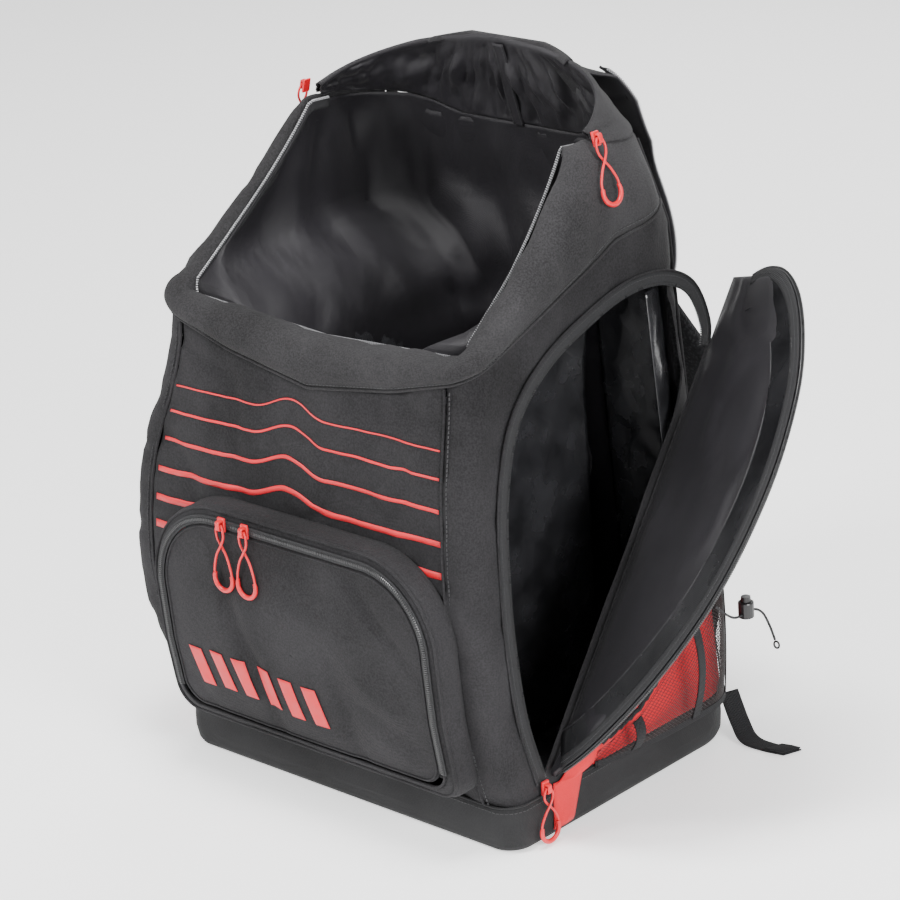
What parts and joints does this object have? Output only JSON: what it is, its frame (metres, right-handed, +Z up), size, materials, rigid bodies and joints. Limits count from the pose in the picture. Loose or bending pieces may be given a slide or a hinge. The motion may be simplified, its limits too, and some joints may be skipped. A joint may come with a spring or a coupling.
{
  "type": "ski boot bag",
  "caption": "Tall ski boot backpack standing open: side boot doors, lid folded back, zipped front pocket, mesh side pockets and a padded harness.",
  "frame": {"origin": "middle of the base at the level of the ground", "axes": "+Z up, the front panel faces -Y, the harness faces +Y, the open boot door is on +X"},
  "size_m": [0.6655, 0.4485, 0.6584],
  "materials": {
    "shell_fabric": "woven polyester, matt charcoal",
    "lining_fabric": "thin nylon lining, slight sheen",
    "base_fabric": "coated woven base, matt",
    "tarpaulin": "coated black tarpaulin, glossy and creased",
    "red_plastic": "coral red moulded plastic and print",
    "mesh_fabric": "stretch mesh over red backing",
    "webbing": "ribbed black webbing",
    "zip_tape": "coil zip on woven tape",
    "black_plastic": "moulded black plastic",
    "padding": "foam under spacer mesh"
  },
  "bodies": {
    "bag": {"back_pad_left": "padding", "back_pad_right": "padding", "back_panel": "padding", "base_board": "black_plastic", "base_tub": "base_fabric", "cord_end": "black_plastic", "cord_lock_barrel": "black_plastic", "draw_cord": "webbing", "front_panel": "shell_fabric", "front_pocket_shell": "shell_fabric", "front_pocket_zip": "zip_tape", "haul_loop": "webbing", "left_accent_strip": "red_plastic", "left_boot_divider": "tarpaulin", "left_ladder_lock": "black_plastic", "left_lower_webbing": "webbing", "left_mesh_hem": "webbing", "left_mesh_pocket": "mesh_fabric", "left_opening_zip": "zip_tape", "left_shoulder_strap": "padding", "left_side_panel": "shell_fabric", "left_webbing_tail": "webbing", "mouth_yoke": "shell_fabric", "mouth_zip": "zip_tape", "right_accent_strip": "red_plastic", "right_boot_divider": "tarpaulin", "right_ladder_lock": "black_plastic", "right_lower_webbing": "webbing", "right_mesh_hem": "webbing", "right_mesh_pocket": "mesh_fabric", "right_opening_zip": "zip_tape", "right_shoulder_strap": "padding", "right_side_panel": "shell_fabric", "right_webbing_tail": "webbing"},
    "right_door": {"right_door": "shell_fabric", "right_door_zip": "zip_tape"},
    "left_door": {"left_door": "shell_fabric", "left_door_zip": "zip_tape"},
    "riser": {"lid_riser": "lining_fabric"},
    "lid": {"lid_panel": "shell_fabric", "lid_zip": "zip_tape"},
    "pocket_flap": {"front_pocket_flap": "shell_fabric"},
    "lock_button": {"cord_lock_button": "black_plastic"},
    "sternum_left": {"sternum_strap_left": "webbing", "buckle_plug": "black_plastic"},
    "sternum_right": {"sternum_strap_right": "webbing", "buckle_socket": "black_plastic"},
    "left_door_pull": {"left_door_pull": "red_plastic"},
    "left_door_slider": {"left_door_slider": "red_plastic"},
    "mouth_pull_left": {"mouth_pull_left": "red_plastic"},
    "mouth_pull_right": {"mouth_pull_right": "red_plastic"},
    "mouth_slider_left": {"mouth_slider_left": "red_plastic"},
    "mouth_slider_right": {"mouth_slider_right": "red_plastic"},
    "pocket_pull_left": {"pocket_pull_left": "red_plastic"},
    "pocket_pull_right": {"pocket_pull_right": "red_plastic"},
    "pocket_slider_left": {"pocket_slider_left": "red_plastic"},
    "pocket_slider_right": {"pocket_slider_right": "red_plastic"},
    "right_door_pull": {"right_door_pull": "red_plastic"},
    "right_door_slider": {"right_door_slider": "red_plastic"}
  },
  "joints": [
    {"name": "right_door_fold", "type": "hinge", "parent": "bag", "child": "right_door", "pos_m": [0.21392, -0.118, 0.0481], "axis": [-0.0364, 0.6275, 0.7778], "range_deg": [-68, 0]},
    {"name": "left_door_fold", "type": "hinge", "parent": "bag", "child": "left_door", "pos_m": [-0.21672, -0.118, 0.04823], "axis": [0.0364, 0.6275, 0.7778], "range_deg": [-68, 0]},
    {"name": "riser_tilt", "type": "hinge", "parent": "bag", "child": "riser", "pos_m": [0, 0.1425, 0.5805], "axis": [1, 0, 0], "range_deg": [0, 45]},
    {"name": "lid_fold", "type": "hinge", "parent": "riser", "child": "lid", "pos_m": [0, 0.132, 0.66], "axis": [1, 0, 0], "range_deg": [0, 245]},
    {"name": "front_pocket_fold", "type": "hinge", "parent": "bag", "child": "pocket_flap", "pos_m": [0, -0.19564, 0.0726], "axis": [1, 0, 0], "range_deg": [0, 80]},
    {"name": "lock_button_press", "type": "slide", "parent": "bag", "child": "lock_button", "axis": [0, 0, -1], "range_m": [0, 0.003], "stiffness_N_per_m": 300},
    {"name": "sternum_left_swing", "type": "hinge", "parent": "bag", "child": "sternum_left", "pos_m": [-0.1165, 0.2245, 0.3], "axis": [0, -1, 0], "range_deg": [0, 68]},
    {"name": "sternum_right_swing", "type": "hinge", "parent": "bag", "child": "sternum_right", "pos_m": [0.1165, 0.2245, 0.3], "axis": [0, 1, 0], "range_deg": [0, 68]},
    {"name": "pocket_slider_left_run", "type": "slide", "parent": "pocket_flap", "child": "pocket_slider_left", "axis": [-1, 0, 0], "range_m": [0, 0.03]},
    {"name": "pocket_slider_right_run", "type": "slide", "parent": "pocket_flap", "child": "pocket_slider_right", "axis": [1, 0, 0], "range_m": [0, 0.13]},
    {"name": "pocket_pull_left_swing", "type": "hinge", "parent": "pocket_slider_left", "child": "pocket_pull_left", "pos_m": [-0.078, -0.21461, 0.2755], "axis": [-1, 0, 0], "range_deg": [0, 100]},
    {"name": "pocket_pull_right_swing", "type": "hinge", "parent": "pocket_slider_right", "child": "pocket_pull_right", "pos_m": [-0.048, -0.21461, 0.2755], "axis": [-1, 0, 0], "range_deg": [0, 100]},
    {"name": "mouth_slider_right_run", "type": "slide", "parent": "bag", "child": "mouth_slider_right", "axis": [0.084, -0.775, -0.6263], "range_m": [0, 0.08]},
    {"name": "mouth_pull_right_swing", "type": "hinge", "parent": "mouth_slider_right", "child": "mouth_pull_right", "pos_m": [0.18257, 0.03919, 0.61496], "axis": [0, -1, 0], "range_deg": [0, 100]},
    {"name": "mouth_slider_left_run", "type": "slide", "parent": "bag", "child": "mouth_slider_left", "axis": [-0.084, -0.775, -0.6263], "range_m": [0, 0.08]},
    {"name": "mouth_pull_left_swing", "type": "hinge", "parent": "mouth_slider_left", "child": "mouth_pull_left", "pos_m": [-0.18257, 0.03919, 0.61496], "axis": [0, 1, 0], "range_deg": [0, 100]},
    {"name": "right_door_slider_run", "type": "slide", "parent": "bag", "child": "right_door_slider", "axis": [-0.045, -0.2818, 0.9584], "range_m": [0, 0.045]},
    {"name": "left_door_slider_run", "type": "slide", "parent": "bag", "child": "left_door_slider", "axis": [-0.2773, -0.2588, 0.9253], "range_m": [0, 0.045]},
    {"name": "right_door_pull_swing", "type": "hinge", "parent": "right_door_slider", "child": "right_door_pull", "pos_m": [0.22027, -0.1185, 0.05569], "axis": [0, -1, 0], "range_deg": [0, 100]},
    {"name": "left_door_pull_swing", "type": "hinge", "parent": "left_door_slider", "child": "left_door_pull", "pos_m": [-0.22027, -0.1185, 0.05569], "axis": [0, 1, 0], "range_deg": [0, 100]}
  ]
}
